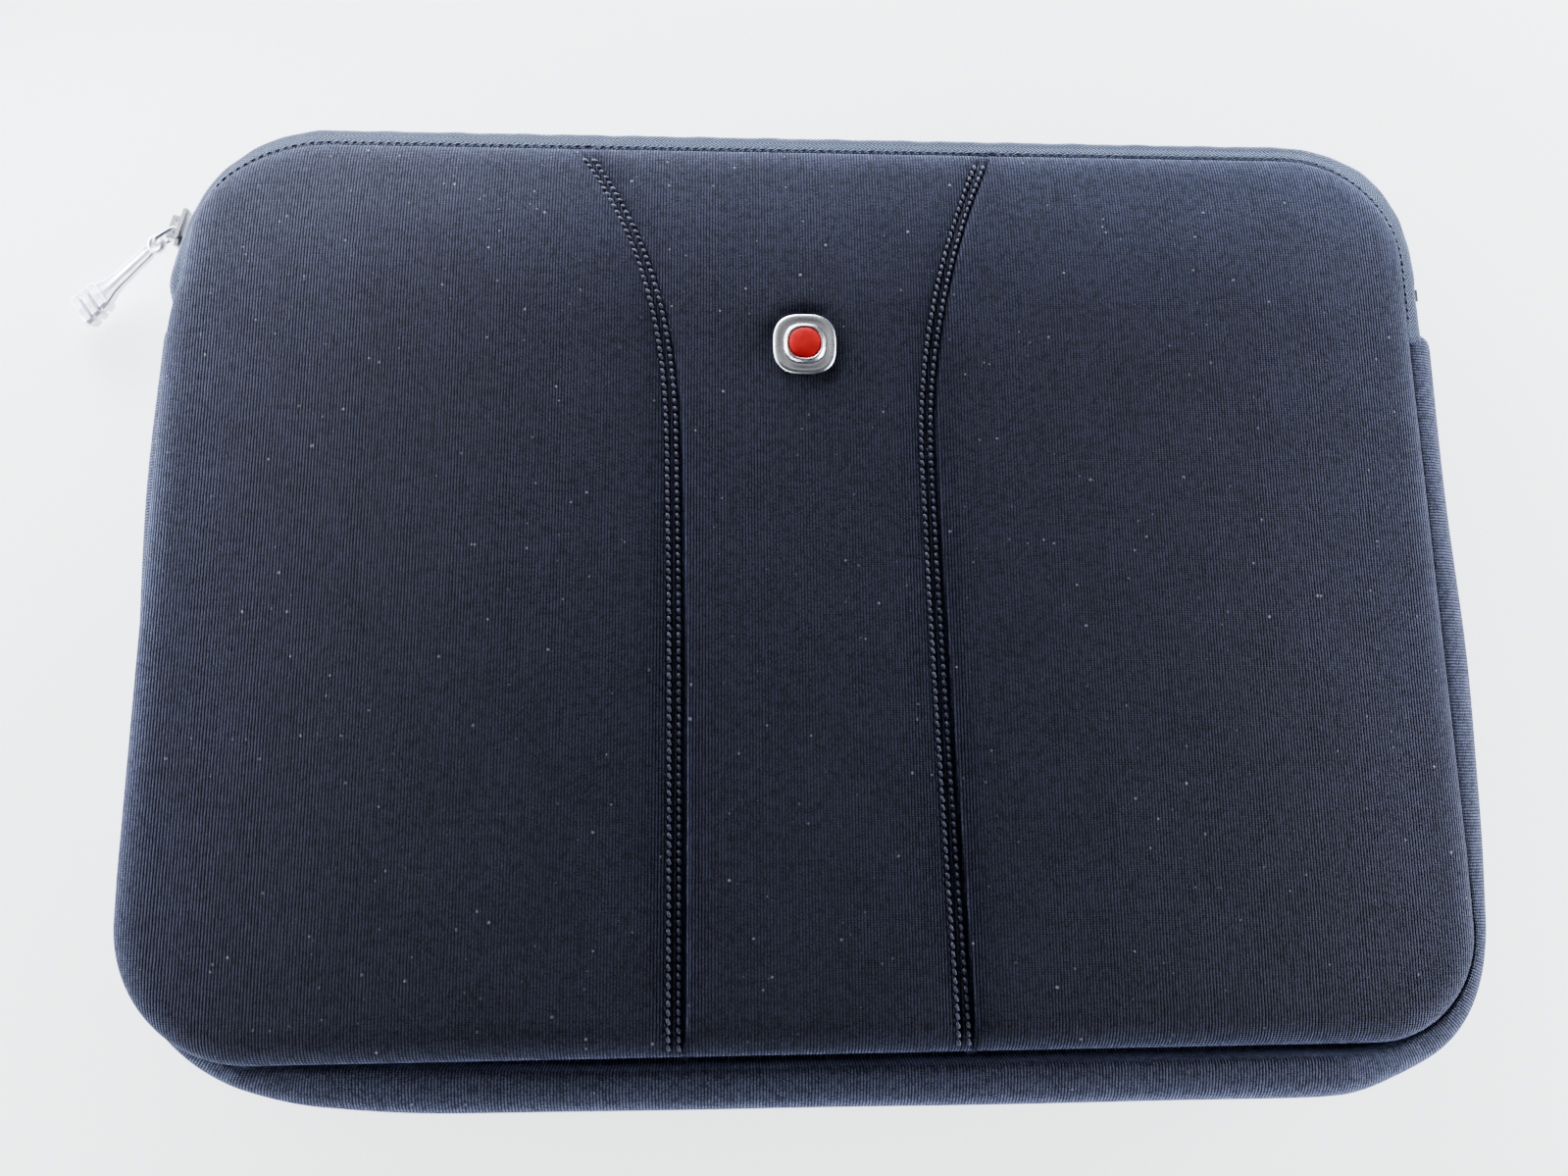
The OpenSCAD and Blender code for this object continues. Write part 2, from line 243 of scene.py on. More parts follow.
def walk(start, corners, end, step):
    """Points, outward directions and distances along an edge that turns left or right
    round corners. Each corner is (centre, radius, first angle, last angle)."""
    points, normals = [], []

    def straight(a, b, normal):
        count = max(1, round(math.dist(a, b) / step))
        for i in range(count):
            points.append([a[k] + (b[k] - a[k]) * i / count for k in (0, 1)])
            normals.append(normal)

    here = start
    for centre, radius, first, last in corners:
        turn = [math.radians(first), math.radians(last)]
        ends = [
            (centre[0] + radius * math.cos(t), centre[1] + radius * math.sin(t)) for t in turn
        ]
        straight(here, ends[0], (math.cos(turn[0]), math.sin(turn[0])))
        count = max(6, round(abs(turn[1] - turn[0]) * radius / step))
        for i in range(count):
            t = turn[0] + (turn[1] - turn[0]) * i / count
            points.append([centre[0] + radius * math.cos(t), centre[1] + radius * math.sin(t)])
            normals.append((math.cos(t), math.sin(t)))
        here = ends[1]
        outward = (math.cos(turn[1]), math.sin(turn[1]))
    straight(here, end, outward)
    points.append(list(end))
    normals.append(outward)
    points, normals = np.array(points), np.array(normals)
    out = sum(
        size * bump(np.hypot(points[:, 0] - at[0], points[:, 1] - at[1]), reach)
        for at, reach, size in SLACK
    )
    points += normals * out[:, None]
    steps = np.hypot(*np.diff(points, axis=0).T)
    return points, normals, np.concatenate([[0], np.cumsum(steps)])


def lower_walk(step):
    """Down the left side, along the bottom and up the right side."""
    x, y = HALF_W - DRAWN_IN, -HALF_H - SAG
    corners = [((LOW_LEFT_R - x, y + LOW_LEFT_R + 0.6), LOW_LEFT_R, 180, 270),
               ((x - LOW_RIGHT_R, y + LOW_RIGHT_R - 0.4), LOW_RIGHT_R, 270, 360)]
    return walk((0.8 - HALF_W, ZIP_START), corners, (HALF_W, ZIP_START), step)


def upper_walk(step, left, right):
    """Up the left side, over the top and down the right side."""
    x, y = ZIP_HALF_W - TOP_R, HALF_H - TOP_R
    corners = [((-x, y), TOP_R, 180, 90), ((x, y), TOP_R, 90, 0)]
    return walk((-ZIP_HALF_W, left), corners, (ZIP_HALF_W, right), step)


def sweep(name, path, section):
    """Carries a section along an edge. section(point, from_start, to_end) gives its points as
    (inset, z), so that it can change on the way."""
    points, normals, length = path
    rows, weave = [], []
    for p, n, s in zip(points, normals, length):
        here = np.asarray(section(p, s, length[-1] - s), float)
        rows.append([(p[0] - n[0] * i, p[1] - n[1] * i, z) for i, z in here])
        steps = np.hypot(*np.diff(here, axis=0).T)
        weave.append([(s, a) for a in np.concatenate([[0], np.cumsum(steps)])])
    return build_grid(name, rows, weave)


# ---------- the front cover's shape ----------

COVER = Outline((-3.2, 2.3), (187.2, 132.7), (44, 34), (38, 31), (97, 14, 3.4))
ROLL_IN = 10            # how far in from its edge the cover starts to roll over
ROLL_DOWN = 5.2         # how far the edge rolls down
LOW_ROLL = 2.2          # and how much further along the bottom
SEAM_ROWS = 2.8         # between the two rows of stitches of a seam
JOIN = 2.6              # the join lies this far to the right of the middle of the rows
STITCH_PITCH = 2.3


def seam_x(y, side):
    """Middle of the rows of stitches of the left (-1) or right (1) seam."""
    waist, spread, power = (38.6, 22.5, 2.5) if side < 0 else (35.6, 21, 1.9)
    flare = np.maximum(0, (y - 35) / 93) ** power
    foot = np.maximum(0, -y / 128) ** 1.5
    return -3 - 0.02 * y + side * (waist + spread * flare + 1.8 * foot)


def roll_drop(depth, reach, drop):
    """How much lower a rolled edge is, at this depth in from it."""
    left = np.clip(1 - depth / reach, 0, 1)
    return drop * (1 - np.sqrt(np.maximum(0, 1 - left**2.2)))


# ---------- padding of the front cover, by cloth simulation ----------

SLAB = FACE_Z - 9, FACE_Z - 2       # its height before it is blown up
SLAB_MIDDLE = sum(SLAB) / 2
VOXEL = 5
PRESSURE = 4
FRAMES = 20
HELD_EDGE, HELD_SEAM = 5, 4         # how far in the sewn edge and seams hold it
MOST_LIFT = 3.2
LIFT_STEP = 4                       # of the grid that the swelling is kept on


def is_held(x, y, z):
    """True where the cover is sewn down: its back, its edge and its two seams."""
    held = (z < SLAB_MIDDLE) | (COVER.depth(x, y) < HELD_EDGE)
    for side in (-1, 1):
        held |= np.abs(x - seam_x(y, side) - 0.8) < HELD_SEAM
    return held


def coordinates(mesh):
    flat = np.empty(len(mesh.vertices) * 3)
    mesh.vertices.foreach_get("co", flat)
    return flat.reshape(-1, 3) / MM


def blow_up():
    """Blows up a slab with the cover's outline. Gives its start, its end and its faces."""
    scene = bpy.context.scene
    ys = np.linspace(*COVER.ends, 60)
    ring = [(COVER.side(y, 1), y) for y in ys] + [(COVER.side(y, -1), y) for y in ys[::-1]]
    verts = [(x, y, z) for z in SLAB for x, y in ring]
    count = len(ring)
    faces = [tuple(range(count))[::-1], tuple(range(count, 2 * count))]
    slab = build("padding_slab", verts, faces + grid_faces(2, count, ring=True))
    remesh = slab.modifiers.new("voxels", "REMESH")
    remesh.mode = "VOXEL"
    remesh.voxel_size = VOXEL * MM
    view = bpy.context.evaluated_depsgraph_get()
    slab.data = bpy.data.meshes.new_from_object(slab.evaluated_get(view))
    slab.modifiers.clear()
    start = coordinates(slab.data)
    group = slab.vertex_groups.new(name="held")
    group.add(np.flatnonzero(is_held(*start.T)).tolist(), 1.0, "REPLACE")
    cloth = slab.modifiers.new("cloth", "CLOTH")
    cloth.settings.quality = 6
    cloth.settings.use_pressure = True
    cloth.settings.uniform_pressure_force = PRESSURE
    cloth.settings.vertex_group_mass = "held"
    cloth.settings.effector_weights.gravity = 0
    cloth.point_cache.frame_start, cloth.point_cache.frame_end = 1, FRAMES
    for frame_number in range(1, FRAMES + 1):
        scene.frame_set(frame_number)
    view = bpy.context.evaluated_depsgraph_get()
    blown = bpy.data.meshes.new_from_object(slab.evaluated_get(view))
    end = coordinates(blown)
    faces = [tuple(face.vertices) for face in blown.polygons]
    bpy.data.objects.remove(slab)
    scene.frame_set(1)
    return start, end, faces


def padding_lift():
    """The simulated swelling as heights on an even grid over the cover."""
    start, end, faces = blow_up()
    moved = (end - start)[:, 2]
    lift = MOST_LIFT * np.tanh(moved / MOST_LIFT)
    top = [f for f in faces if min(start[i, 2] for i in f) > SLAB_MIDDLE]
    flat = [Vector((x, y, z)) for (x, y, _), z in zip(start, lift)]
    tree = BVHTree.FromPolygons(flat, top)
    x0, y0 = -HALF_W - 2 * LIFT_STEP, -HALF_H - 2 * LIFT_STEP
    nx = int(-2 * x0 / LIFT_STEP) + 2
    ny = int(-2 * y0 / LIFT_STEP) + 2
    grid = np.zeros((ny, nx))
    for j in range(ny):
        for i in range(nx):
            above = Vector((x0 + i * LIFT_STEP, y0 + j * LIFT_STEP, 50))
            hit = tree.ray_cast(above, Vector((0, 0, -1)))[0]
            grid[j, i] = hit.z if hit else 0
    for _ in range(2):
        padded = np.pad(grid, 1, mode="edge")
        grid = (padded[:-2, 1:-1] + padded[2:, 1:-1] + 2 * grid
                + padded[1:-1, :-2] + padded[1:-1, 2:]) / 6
    return x0, y0, grid


def spline_weights(t):
    return ((1 - t) ** 3 / 6, (3 * t**3 - 6 * t**2 + 4) / 6,
            (-3 * t**3 + 3 * t**2 + 3 * t + 1) / 6, t**3 / 6)


def lift_at(x, y):
    """Smooth height of the padding above the sewn lines."""
    if PADDING is None:
        across = 1 - np.abs((x - COVER.centre[0]) / COVER.half[0]) ** 4
        along = 1 - np.abs((y - COVER.centre[1]) / COVER.half[1]) ** 4
        return MOST_LIFT * 0.7 * np.clip(across, 0, 1) * np.clip(along, 0, 1)
    x0, y0, grid = PADDING
    u, v = (x - x0) / LIFT_STEP, (y - y0) / LIFT_STEP
    i, j = np.floor(u).astype(int), np.floor(v).astype(int)
    i, j = np.clip(i, 1, grid.shape[1] - 3), np.clip(j, 1, grid.shape[0] - 3)
    total = 0
    for b, wv in enumerate(spline_weights(v - j)):
        for a, wu in enumerate(spline_weights(u - i)):
            total = total + wu * wv * grid[j + b - 1, i + a - 1]
    return total


PADDING = padding_lift()


# ---------- the front cover's surface ----------

def seam_dip(x, y):
    """Dip of the surface at the two seams: a furrow under each row, and the join."""
    low = np.clip((70 - y) / 150, 0, 1)
    dip = 0
    for side in (-1, 1):
        q = x - seam_x(y, side)
        pucker = 1 + 0.35 * np.cos(2 * math.pi * y / STITCH_PITCH)
        dip = dip + 0.9 * bump(q - 0.6, 5)
        for row in (-SEAM_ROWS / 2, SEAM_ROWS / 2):
            dip = dip + 0.35 * pucker * bump(q - row, 0.5)
            dip = dip + 0.55 * bump(q - row - 0.75, 0.4)
        dip = dip + (0.3 + 2.6 * low) * bump(q - JOIN, 0.75)
    return dip


SEWN_Z = FACE_Z - 1.5   # height of the surface before the padding lifts it
TOP_FALL = 3.6          # how far the cover falls away towards its top
TOP_ROLL = 2.6          # and how much less its edge rolls down there
SIDE_FALL = 1.5         # how far it falls away towards its sides
SIDE_ROLL = 0.8         # and how much less its edge rolls down there
# Where the bottom, the top and the sides begin, and over what length they grow
PARTS = [(80, 40), (80, 54), (127, 60)]


def shares(x, y):
    """How far a place lies towards the bottom, the top and the sides, from 0 to 1."""
    ways = -y, y, np.abs(x - COVER.centre[0])
    return [np.clip((way - start) / over, 0, 1) for way, (start, over) in zip(ways, PARTS)]


def fall(x, y):
    _, highest, aside = shares(x, y)
    return TOP_FALL * highest**2 + SIDE_FALL * aside**2


def badge_dip(x, y):
    """The cloth is pressed in round the badge, most of all just above it."""
    from_badge = np.hypot(x - BADGE[0], y - BADGE[1])
    dip = 0.7 * np.clip((15 - from_badge) / 6, 0, 1) ** 2
    return dip, 0.8 * bump(x - BADGE[0], 6) * bump(y - BADGE[1] - BADGE_HALF - 0.9, 1.1)


def front_z(x, y):
    x, y = np.asarray(x, float), np.asarray(y, float)
    depth = COVER.depth(x, y)
    lowest, highest, aside = shares(x, y)
    rolled = ROLL_DOWN + LOW_ROLL * lowest - TOP_ROLL * highest - SIDE_ROLL * aside
    z = SEWN_Z + lift_at(x, y) - roll_drop(depth, ROLL_IN, rolled) - fall(x, y)
    z = z + waves(x, y, 85, 3, 0.5) * np.clip(depth / 25, 0, 1)
    for dip in badge_dip(x, y):
        z = z - dip
    return z - seam_dip(x, y) * np.clip(depth / 6, 0.15, 1)


EDGE_STEPS = ROLL_IN * np.array([1 - math.cos(math.pi / 2 * k / 9) for k in range(9)])
SEAM_STEPS = np.array([0.33 * k for k in range(16)] + [5.4, 6.0, 6.8, 7.9, 9.4])
EVEN_STEP = 2.6         # between points in the middle of a panel
TURN_ENDS = 6           # a seam's turned cloth gets shallow this near to its ends


def spaced(low, high, steps, step):
    """Positions from low to high, at the given steps near both ends and even between."""
    a, b = low + steps[-1] + step, high - steps[-1] - step
    middle = np.linspace(a, b, max(2, round((b - a) / step) + 1))
    return np.concatenate([low + steps, middle, (high - steps)[::-1]])


def cover_panel(name, outline, height, left, right, under, turned, facing):
    """One panel of a cover. left and right give the panel's sides at a height, and are None
    where the side is the cover's own edge. under holds the (in, down) steps of the edge
    that turns under, and turned the steps down into a seam."""
    bottom, top = outline.ends
    ys = spaced(bottom, top, EDGE_STEPS, STITCH_PITCH / 2)
    rows = [(outline.side(y, -1) if left is None else left(y),
             outline.side(y, 1) if right is None else right(y)) for y in ys]
    low_steps = EDGE_STEPS if left is None else SEAM_STEPS
    high_steps = EDGE_STEPS if right is None else SEAM_STEPS
    widest = max(high - low for low, high in rows)
    share = np.linspace(0, 1, round((widest - low_steps[-1] - high_steps[-1]) / EVEN_STEP))
    xs = []
    for low, high in rows:
        fit = min(1, 0.8 * (high - low) / (low_steps[-1] + high_steps[-1]))
        near, far = low + fit * low_steps, high - fit * high_steps
        middle = (near[-1] + (far[-1] - near[-1]) * share)[1:-1]
        xs.append(np.concatenate([near, middle, far[::-1]]))
    xs = np.array(xs)
    yy = np.repeat(ys[:, None], xs.shape[1], 1)
    grid = np.stack([xs, yy, height(xs, yy)], -1)
    weave = np.stack([xs, yy], -1)
    near_end = np.minimum(ys - bottom, top - ys)
    depth = np.clip(near_end / TURN_ENDS, 0.05, 1)[:, None, None] * np.array([0, 0, 1])
    if left is not None:
        columns = [grid[:, :1] - down * depth for down in turned[::-1]]
        weaves = [weave[:, :1] - np.array([down, 0]) for down in turned[::-1]]
        grid, weave = np.concatenate([*columns, grid], 1), np.concatenate([*weaves, weave], 1)
    if right is not None:
        columns = [grid[:, -1:] - down * depth for down in turned]
        weaves = [weave[:, -1:] + np.array([down, 0]) for down in turned]
        grid, weave = np.concatenate([grid, *columns], 1), np.concatenate([weave, *weaves], 1)
    verts, cloth = list(grid.reshape(-1, 3)), list(weave.reshape(-1, 2))
    faces = grid_faces(*grid.shape[:2])
    index = np.arange(len(verts)).reshape(grid.shape[:2])
    low_row, high_row = index[0].tolist(), index[-1].tolist()
    low_column, high_column = index[:, 0].tolist(), index[:, -1].tolist()
    closed = left is None and right is None
    if left is None:
        loop = low_row[::-1] + low_column[1:] + high_row[1:]
        loops = [loop + high_column[-2:0:-1] if closed else loop]
    elif right is None:
        loops = [low_row + high_column[1:] + high_row[-2::-1]]
    else:
        loops = [low_row[::-1], high_row]
    for loop in loops:
        base = np.array([verts[i] for i in loop])
        nx, ny = outline.outward(base[:, 0], base[:, 1])
        previous, last, gone = loop + loop[:1] if closed else loop, (0, 0), 0
        for inward, down in under:
            gone += math.hypot(inward - last[0], down - last[1])
            last = (inward, down)
            start = len(verts)
            verts += list(base - np.stack([nx * inward, ny * inward, 0 * nx + down], -1))
            cloth += list(base[:, :2] + gone * np.stack([nx, ny], -1))
            ring = list(range(start, start + len(loop)))
            if closed:
                ring.append(start)
            faces += zip(previous, previous[1:], ring[1:], ring)
            previous = ring
    return build(name, verts, faces, cloth, facing=facing)


# ---------- materials ----------

def new_material(name):
    """A material, its node tree and its shader."""
    material = bpy.data.materials.new(name)
    material.use_nodes = True
    return material, material.node_tree, material.node_tree.nodes["Principled BSDF"]


def connect(node, **inputs):
    """Gives a node's inputs values or other nodes' outputs. Inputs go by name or place."""
    for key, value in inputs.items():
        socket = node.inputs[int(key[1:]) if key[1:].isdigit() else key.replace("_", " ")]
        if isinstance(value, bpy.types.NodeSocket):
            node.id_data.links.new(value, socket)
        else:
            socket.default_value = value


def add(tree, kind, settings=None, **inputs):
    made = tree.nodes.new(kind)
    for key, value in (settings or {}).items():
        setattr(made, key, value)
    connect(made, **inputs)
    return made


def sums(tree, operation, a, b=0.0, c=0.0):
    return add(tree, "ShaderNodeMath", {"operation": operation}, i0=a, i1=b, i2=c).outputs[0]


def weave_place(tree):
    """u and v on the cloth, in metres, and both as a vector."""
    uv = add(tree, "ShaderNodeUVMap", {"uv_map": "weave"}).outputs[0]
    split = add(tree, "ShaderNodeSeparateXYZ", i0=uv)
    return uv, split.outputs[0], split.outputs[1]


def ribs(tree, place, pitch):
    """A row of rounded ribs, 0 in the grooves and 1 on top."""
    turns = sums(tree, "MULTIPLY", place, 1 / (pitch * MM))
    half = sums(tree, "PINGPONG", turns, 0.5)
    return sums(tree, "MULTIPLY", half, 2.0)


def noise(tree, vector, scale, detail=2.0, roughness=0.5):
    made = add(tree, "ShaderNodeTexNoise", Vector=vector, Scale=scale, Detail=detail,
               Roughness=roughness)
    return made.outputs["Fac"]


def ramp(tree, value, low, high, a, b):
    made = add(tree, "ShaderNodeMapRange", i0=value, i1=low, i2=high, i3=a, i4=b)
    return made.outputs[0]


def colour(rgb):
    return (*rgb, 1.0)


def mixed(tree, share, a, b):
    """Mixes two colours, each of them (r, g, b) or another node's output."""
    a, b = (colour(c) if isinstance(c, tuple) else c for c in (a, b))
    return add(tree, "ShaderNodeMix", {"data_type": "RGBA"}, i0=share, i6=a, i7=b).outputs[2]


def relief(tree, strength, distance, height):
    made = add(tree, "ShaderNodeBump", Strength=strength, Distance=distance, Height=height)
    return made.outputs[0]


RIB_PITCH = 0.87        # of the knit, in millimetres


def set_cloth(shader, base, normal, roughness, sheen, sheen_roughness, tint):
    connect(shader, Base_Color=base, Normal=normal, Roughness=roughness,
            Specular_IOR_Level=0.1, Sheen_Weight=sheen, Sheen_Roughness=sheen_roughness,
            Sheen_Tint=colour(tint))


def knit(name, dark, light, sheen):
    """Knit facing of the neoprene: ribs of small loops across u, uneven, and with lint. Its
    colour goes dark in the grooves between the ribs, which is painted shade.
    """
    material, tree, shader = new_material(name)
    uv, u, v = weave_place(tree)
    slow = noise(tree, uv, 60.0, 3.0)
    patchy = noise(tree, uv, 420.0, 3.0, 0.7)
    fine = noise(tree, uv, 1700.0, 2.0, 0.75)
    wander = sums(tree, "MULTIPLY", noise(tree, uv, 280.0), 0.0003)
    rib = ribs(tree, sums(tree, "ADD", u, wander), RIB_PITCH)
    rounded = sums(tree, "SMOOTH_MIN", sums(tree, "MULTIPLY", rib, 1.5), 1.0, 0.3)
    loop = ribs(tree, sums(tree, "MULTIPLY_ADD", rib, 0.00025, v), 0.62)
    height = sums(tree, "MULTIPLY_ADD", loop, 0.3, sums(tree, "MULTIPLY", rounded, 0.7))
    fuzz = sums(tree, "MULTIPLY_ADD", fine, 0.6, height)
    heather = sums(tree, "MULTIPLY", ramp(tree, fine, 0.34, 0.66, 0.1, 1.7),
                   ramp(tree, patchy, 0.36, 0.64, 0.45, 1.5))
    # shade is darkest in the grooves between the ribs, which is painted shade, times the yarn's
    # own uneven heather tone.
    shade = sums(tree, "MULTIPLY", sums(tree, "POWER", rounded, 2.2), heather)
    shade = sums(tree, "MULTIPLY", shade, ramp(tree, slow, 0.3, 0.7, 0.75, 1.15))
    cloth = mixed(tree, shade, dark, light)
    specks = add(tree, "ShaderNodeTexVoronoi", Vector=uv, Scale=260.0, Randomness=1.0)
    ragged = sums(tree, "MULTIPLY_ADD", patchy, 0.45, specks.outputs["Distance"])
    lint = ramp(tree, ragged, 0.27, 0.33, 1.0, 0.0)
    chance = ramp(tree, noise(tree, uv, 150.0), 0.48, 0.62, 0.0, 0.75)
    lint = sums(tree, "MULTIPLY", lint, chance)
    nap = ramp(tree, shade, 0.0, 1.2, 0.25 * sheen, 1.2 * sheen)
    set_cloth(shader, mixed(tree, lint, cloth, (0.2, 0.21, 0.25)),
              relief(tree, 0.9, 0.0003, fuzz), 0.9, nap, 0.35, (0.45, 0.55, 1.0))
    return material


def herringbone(name, dark, light, pitch=1.3):
    """Woven zip tape: slanted ridges that change direction in lengthwise bands. Its colour goes
    dark in the low parts of the weave, which is painted shade.
    """
    material, tree, shader = new_material(name)
    uv, u, v = weave_place(tree)
    band = sums(tree, "PINGPONG", v, 1.6 * MM)
    slanted = sums(tree, "ADD", u, sums(tree, "MULTIPLY", band, 1.5))
    ridge = ribs(tree, slanted, pitch)
    threads = sums(tree, "MULTIPLY", ribs(tree, v, 0.4), 0.25)
    height = sums(tree, "MULTIPLY_ADD", ridge, 0.75, threads)
    fine = noise(tree, uv, 1500.0, 2.0, 0.7)
    height = sums(tree, "MULTIPLY_ADD", fine, 0.3, height)
    # The colour follows the weave's height: the low parts are painted dark as shade.
    cloth = mixed(tree, ramp(tree, height, 0.2, 1.2, 0.0, 1.0), dark, light)
    set_cloth(shader, cloth, relief(tree, 0.9, 0.0003, height), 0.8, 0.6, 0.4, (0.55, 0.7, 1.0))
    return material


def plush(name, dark, light):
    """Short-pile lining: brushed fibres that catch the light in patches."""
    material, tree, shader = new_material(name)
    uv, _, _ = weave_place(tree)
    pile = noise(tree, uv, 1100.0, 3.0, 0.8)
    brushed = noise(tree, uv, 45.0, 3.0, 0.6)
    shade = sums(tree, "MULTIPLY", pile, ramp(tree, brushed, 0.35, 0.65, 0.6, 1.3))
    cloth = mixed(tree, ramp(tree, shade, 0.25, 0.75, 0.0, 1.0), dark, light)
    set_cloth(shader, cloth, relief(tree, 0.9, 0.0006, pile), 0.95, 0.6, 0.5, (0.8, 0.85, 1.0))
    return material


def thread(name, dark, light):
    """Twisted sewing thread: slanted strands over each stitch. Its colour goes dark between the
    strands, which is painted shade.
    """
    material, tree, shader = new_material(name)
    place = add(tree, "ShaderNodeNewGeometry").outputs["Position"]
    split = add(tree, "ShaderNodeSeparateXYZ", i0=place)
    slant = sums(tree, "ADD", split.outputs[0], split.outputs[1])
    twist = ribs(tree, slant, 0.34)
    # The colour follows the twist: dark between the strands, which is painted shade.
    set_cloth(shader, mixed(tree, twist, dark, light), relief(tree, 0.7, 0.00012, twist),
              0.6, 0.3, 0.35, (0.8, 0.85, 1.0))
    return material


def blotches(tree, scale, detail, roughness, low, a, b):
    """Fine noise on the object, and two colours mixed by it."""
    place = add(tree, "ShaderNodeTexCoord").outputs["Object"]
    grain = noise(tree, place, scale, detail, roughness)
    return place, grain, mixed(tree, ramp(tree, grain, low, 0.7, 0.0, 1.0), a, b)


def metal(name, base, dull, roughness, brushed=0.35, metallic=1.0):
    """Cast or plated metal: fine brushed streaks, small pits and duller patches."""
    material, tree, shader = new_material(name)
    place, patches, finish = blotches(tree, 260.0, 3.0, 0.6, 0.35, base, dull)
    stretched = add(tree, "ShaderNodeMapping", Vector=place, Scale=(40.0, 900.0, 900.0))
    streaks = noise(tree, stretched.outputs[0], 6.0, 3.0, 0.6)
    uneven = sums(tree, "ADD", streaks, patches)
    rough = ramp(tree, uneven, 0.7, 1.3, roughness * 0.75, roughness * 1.35)
    connect(shader, Base_Color=finish, Roughness=rough, Metallic=metallic,
            Normal=relief(tree, brushed, 0.00005, streaks))
    return material


def enamel(name, base, deep):
    """Glossy enamel with slight pooling of colour and a clear coat."""
    material, tree, shader = new_material(name)
    _, pooled, finish = blotches(tree, 420.0, 2.0, 0.5, 0.35, base, deep)
    connect(shader, Base_Color=finish, Normal=relief(tree, 0.15, 0.0001, pooled),
            Roughness=0.35, Specular_IOR_Level=0.25, Coat_Weight=0.12, Coat_Roughness=0.06)
    return material


def nylon(name, base, worn):
    """Moulded nylon coil with a slightly worn crown."""
    material, tree, shader = new_material(name)
    _, grain, finish = blotches(tree, 1600.0, 2.0, 0.5, 0.4, base, worn)
    connect(shader, Base_Color=finish, Roughness=ramp(tree, grain, 0.3, 0.7, 0.32, 0.5))
    return material


COVER_CLOTH = knit("cover_knit", (0.0003, 0.0003, 0.0014), (0.023, 0.0235, 0.045), 0.5)
# The band's knit is the cover's neoprene made about three times lighter. This is painted light,
# standing in for the light that the band's outward sides catch.
BAND_CLOTH_WITH_PAINTED_LIGHT = knit("band_knit_with_painted_light", (0.002, 0.0025, 0.006), (0.066, 0.072, 0.12), 0.75)
TAPE_CLOTH = herringbone("zip_tape_weave", (0.004, 0.005, 0.011), (0.085, 0.1, 0.16))
BINDING_CLOTH = herringbone("binding_weave", (0.004, 0.004, 0.006), (0.03, 0.03, 0.036), 0.9)
LINING_CLOTH = plush("plush_lining", (0.008, 0.0085, 0.011), (0.06, 0.062, 0.072))
THREAD = thread("sewing_thread", (0.006, 0.006, 0.012), (0.085, 0.09, 0.14))
RIM_THREAD = thread("rim_thread", (0.025, 0.03, 0.05), (0.09, 0.1, 0.16))
COIL = nylon("coil_nylon", (0.008, 0.008, 0.01), (0.03, 0.031, 0.036))
ZIP_METAL = metal("zip_metal", (0.56, 0.56, 0.6), (0.4, 0.4, 0.44), 0.3)
PULL_METAL = metal("pull_metal", (0.85, 0.84, 0.92), (0.68, 0.67, 0.76), 0.42, metallic=0.8)
BADGE_METAL = metal("badge_metal", (0.8, 0.8, 0.83), (0.68, 0.68, 0.71), 0.28, 0.1)
RED_ENAMEL = enamel("red_enamel", (0.55, 0.0, 0.003), (0.42, 0.0, 0.002))


def finish_piece(piece, material, slot, *replaced):
    piece.data.materials.clear()
    piece.data.materials.append(material)
    if replaced:
        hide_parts(*replaced)
    return piece


def bend(piece):
    """Bakes the piece's transform into its mesh."""
    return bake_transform(piece)


# ---------- covers ----------

UNDER = [(0.25, 0.8), (0.8, 1.4), (1.7, 1.8), (3.0, 1.9), (6.0, 1.9)]
TURNED = [0.7, 1.6, 2.6]
COVER_THICKNESS = 2.0


def make_covers():
    first, second = (lambda y, side=side: seam_x(y, side) + JOIN for side in (-1, 1))
    for word, left, right in (
        ("left", None, first), ("centre", first, second), ("right", second, None),
    ):
        name = f"front_{word}_cover"
        piece = cover_panel(name, COVER, front_z, left, right, UNDER, TURNED, 1)
        finish_piece(thicken(piece, COVER_THICKNESS), COVER_CLOTH, "neoprene",
                     f"front_{word}_panel", f"front_{word}_flap")
        bend(piece)


BACK = Outline((0, 0), (HALF_W - 12, HALF_H - 12), (35, 35), (50, 42))


def back_z(x, y):
    depth = BACK.depth(np.asarray(x, float), np.asarray(y, float))
    lift = roll_drop(depth, ROLL_IN, ROLL_DOWN)
    rise = 0.5 + waves(x, y, 80, 11, 0.5)
    return lift + np.clip((14 - depth) / 30, 0, 1) ** 2 * rise


def make_back():
    under = [(inward, -down) for inward, down in UNDER]
    piece = cover_panel("back_cover", BACK, back_z, None, None, under, [], -1)
    finish_piece(thicken(piece, COVER_THICKNESS), COVER_CLOTH, "neoprene", "back_panel")
    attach(piece, "sleeve")


# ---------- side band ----------

BAND_MID = 12.4         # height of the band's outermost line
BAND_TOP = 21.2         # height of the band along the front valley
BAND_LOW = 3.8          # height of the band along the back valley
BACK_REACH = 9.4        # how far in the band runs on the back
LEAST_REACH = 5.5       # the band goes in at least this far, under the cover if need be
BAND_END = 5.5          # the band's ends round off within this length
VALLEY = 0.9            # width of the valley between band and front cover
LOW_VALLEY = 2.6        # how much wider it is along the bottom
GAPE_Y, GAPE_X = -118, (-150, 170)  # it gapes below this line and between these two
SEAM_Z = 12.4           # floor of the front valley
CLOSED = 5.5            # how far the band's very ends are drawn in


def cover_gap(point):
    """How far the front cover's edge is from a point on the outside."""
    return -float(COVER.depth(point[0], point[1]))


